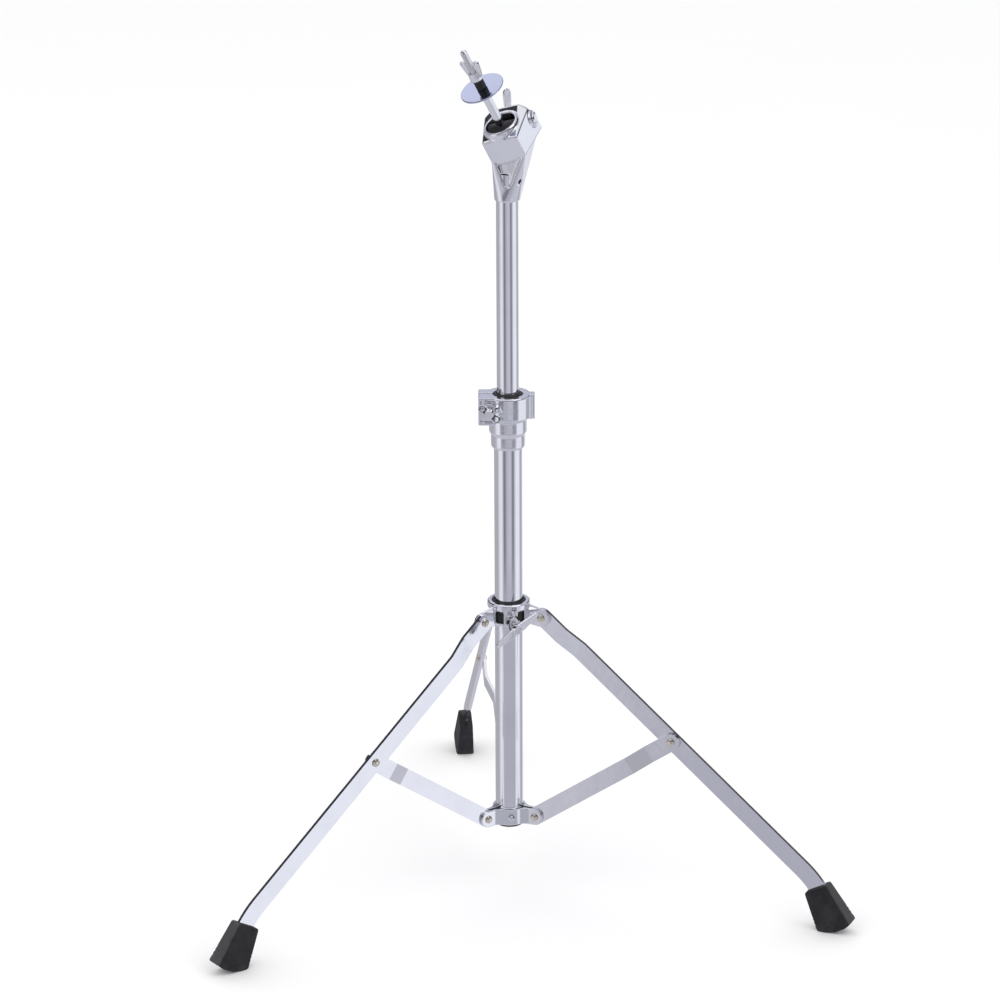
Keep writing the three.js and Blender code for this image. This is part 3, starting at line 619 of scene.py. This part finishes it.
# Tone of the screens round the stand: degrees to the right of its front, and their light.
SCREENS = (
    (-180, GREY),
    (-115, (0.46, 0.46, 0.5)),
    (-95, (0.44, 0.44, 0.48)),
    (-82, (0.72, 0.72, 0.8)),
    (-62, (0.9, 0.9, 0.97)),
    (-50, (0.72, 0.72, 0.79)),
    (-43, (0.55, 0.55, 0.62)),
    (-38, LINE),
    (-26, (0.22, 0.22, 0.26)),
    (-16, (0.46, 0.46, 0.53)),
    (10, (0.6, 0.6, 0.68)),
    (24, (0.52, 0.52, 0.6)),
    (32, LINE),
    (42, (0.26, 0.26, 0.3)),
    (54, (0.62, 0.63, 0.71)),
    (66, (0.9, 0.92, 1.0)),
    (95, (0.86, 0.89, 0.98)),
    (112, GREY),
    (134, (0.46, 0.46, 0.5)),
    (146, (0.8, 0.81, 0.88)),
    (180, (0.75, 0.76, 0.82)),
)
ALL_ROUND = (-400, 400)
# The screen behind the stand: how far round its soft edge starts and ends, and its height.
BEHIND_EDGE, BEHIND_HEIGHT, BEHIND_SOFT = (150, 165), (14.5, 60), 3
# Panels in front of the screens: degrees across, degrees up, softness of the edge, and light.
PANELS = (
    ((-46, 46), (-34, -18.5), 4, (0.46, 0.46, 0.53)),
    (ALL_ROUND, (-100, -33), 8, (0.6, 0.6, 0.68)),
    (ALL_ROUND, (-6, 100), 5, (0.44, 0.44, 0.49)),
    ((98, 150), (-7, 14), 5, (0.88, 0.91, 1.0)),
    (ALL_ROUND, (9, 31), 6, (0.08, 0.08, 0.09)),
    (ALL_ROUND, (31, 58), 8, (0.6, 0.61, 0.7)),
    ((-142, -100), (16, 56), 6, (0.04, 0.04, 0.05)),
    (ALL_ROUND, (58, 100), 8, (0.92, 0.92, 0.96)),
)


MIDDLE = column + UP * 0.4


def softbox(name, heading, height, distance, size, power):
    """A square soft light that faces the middle of the stand."""
    data = bpy.data.lights.new(name, "AREA")
    data.energy = power
    data.size = size
    obj = bpy.data.objects.new(name, data)
    angle = math.radians(heading)
    obj.location = MIDDLE + Vector((math.cos(angle) * distance, math.sin(angle) * distance, height))
    obj.rotation_euler = (MIDDLE - obj.location).to_track_quat("-Z", "Y").to_euler()
    bpy.context.scene.collection.objects.link(obj)


def studio_world():
    """A studio that is plain and pale to the eye and on the floor.

    The chrome alone mirrors its bright and dark screens.
    """
    world = bpy.data.worlds.new("studio")
    bpy.context.scene.world = world
    world.use_nodes = True
    tree = Tree(world.node_tree)
    nodes = tree.nodes

    def step(value, start, end):
        """0 below start and 1 above end, with a soft slope between them."""
        node = nodes.new("ShaderNodeMapRange")
        node.interpolation_type = "SMOOTHSTEP"
        tree.wire(value, node.inputs["Value"])
        tree.wire(start, node.inputs["From Min"])
        tree.wire(end, node.inputs["From Max"])
        return node.outputs["Result"]

    def window(value, low, high, soft):
        rise = step(value, low - soft / 2, low + soft / 2)
        fall = step(value, high - soft / 2, high + soft / 2)
        return tree.math("SUBTRACT", rise, fall)

    turn = nodes.new("ShaderNodeVectorRotate")
    turn.rotation_type = "Z_AXIS"
    tree.wire(nodes.new("ShaderNodeTexCoord").outputs["Generated"], turn.inputs["Vector"])
    tree.wire(math.radians(90 - CAMERA_HEADING), turn.inputs["Angle"])
    split = nodes.new("ShaderNodeSeparateXYZ")
    tree.wire(turn.outputs["Vector"], split.inputs["Vector"])
    # Degrees to the right of the way to the front of the stand, and degrees above the horizon.
    front = tree.math("MULTIPLY", split.outputs["Y"], -1)
    side = tree.math("DEGREES", tree.math("ARCTAN2", split.outputs["X"], front))
    height = tree.math("DEGREES", tree.math("ARCSINE", split.outputs["Z"]))

    ramp = nodes.new("ShaderNodeValToRGB")
    tree.wire(tree.math("ADD", tree.math("DIVIDE", side, 360), 0.5), ramp.inputs["Fac"])
    elements = ramp.color_ramp.elements
    while len(elements) < len(SCREENS):
        elements.new(0.5)
    for element, (degrees, tone) in zip(elements, SCREENS):
        element.position = degrees / 360 + 0.5
        element.color = (*tone, 1)
    studio = ramp.outputs["Color"]
    for (left, right), (low, high), soft, tone in PANELS:
        where = tree.math("MULTIPLY", window(side, left, right, soft), window(height, low, high, soft))
        studio = tree.mix(where, studio, tone)
    around = step(tree.math("ABSOLUTE", side), *BEHIND_EDGE)
    behind = tree.math("MULTIPLY", around, window(height, *BEHIND_HEIGHT, BEHIND_SOFT))
    studio = tree.mix(behind, studio, BEHIND)
    glossy = nodes.new("ShaderNodeLightPath").outputs["Is Glossy Ray"]
    background = nodes["Background"]
    tree.wire(tree.mix(glossy, PALE, studio), background.inputs["Color"])
    tree.wire(1.0, background.inputs["Strength"])


camera()
floor()
studio_world()
softbox("key", CAMERA_HEADING + 180 + 55, 1.9, 2.0, 1.6, 7)
softbox("fill", CAMERA_HEADING + 180 - 60, 1.3, 2.2, 1.8, 4)
softbox("back", CAMERA_HEADING + 25, 2.2, 2.4, 1.6, 4)
bpy.context.scene.view_settings.view_transform = "Standard"
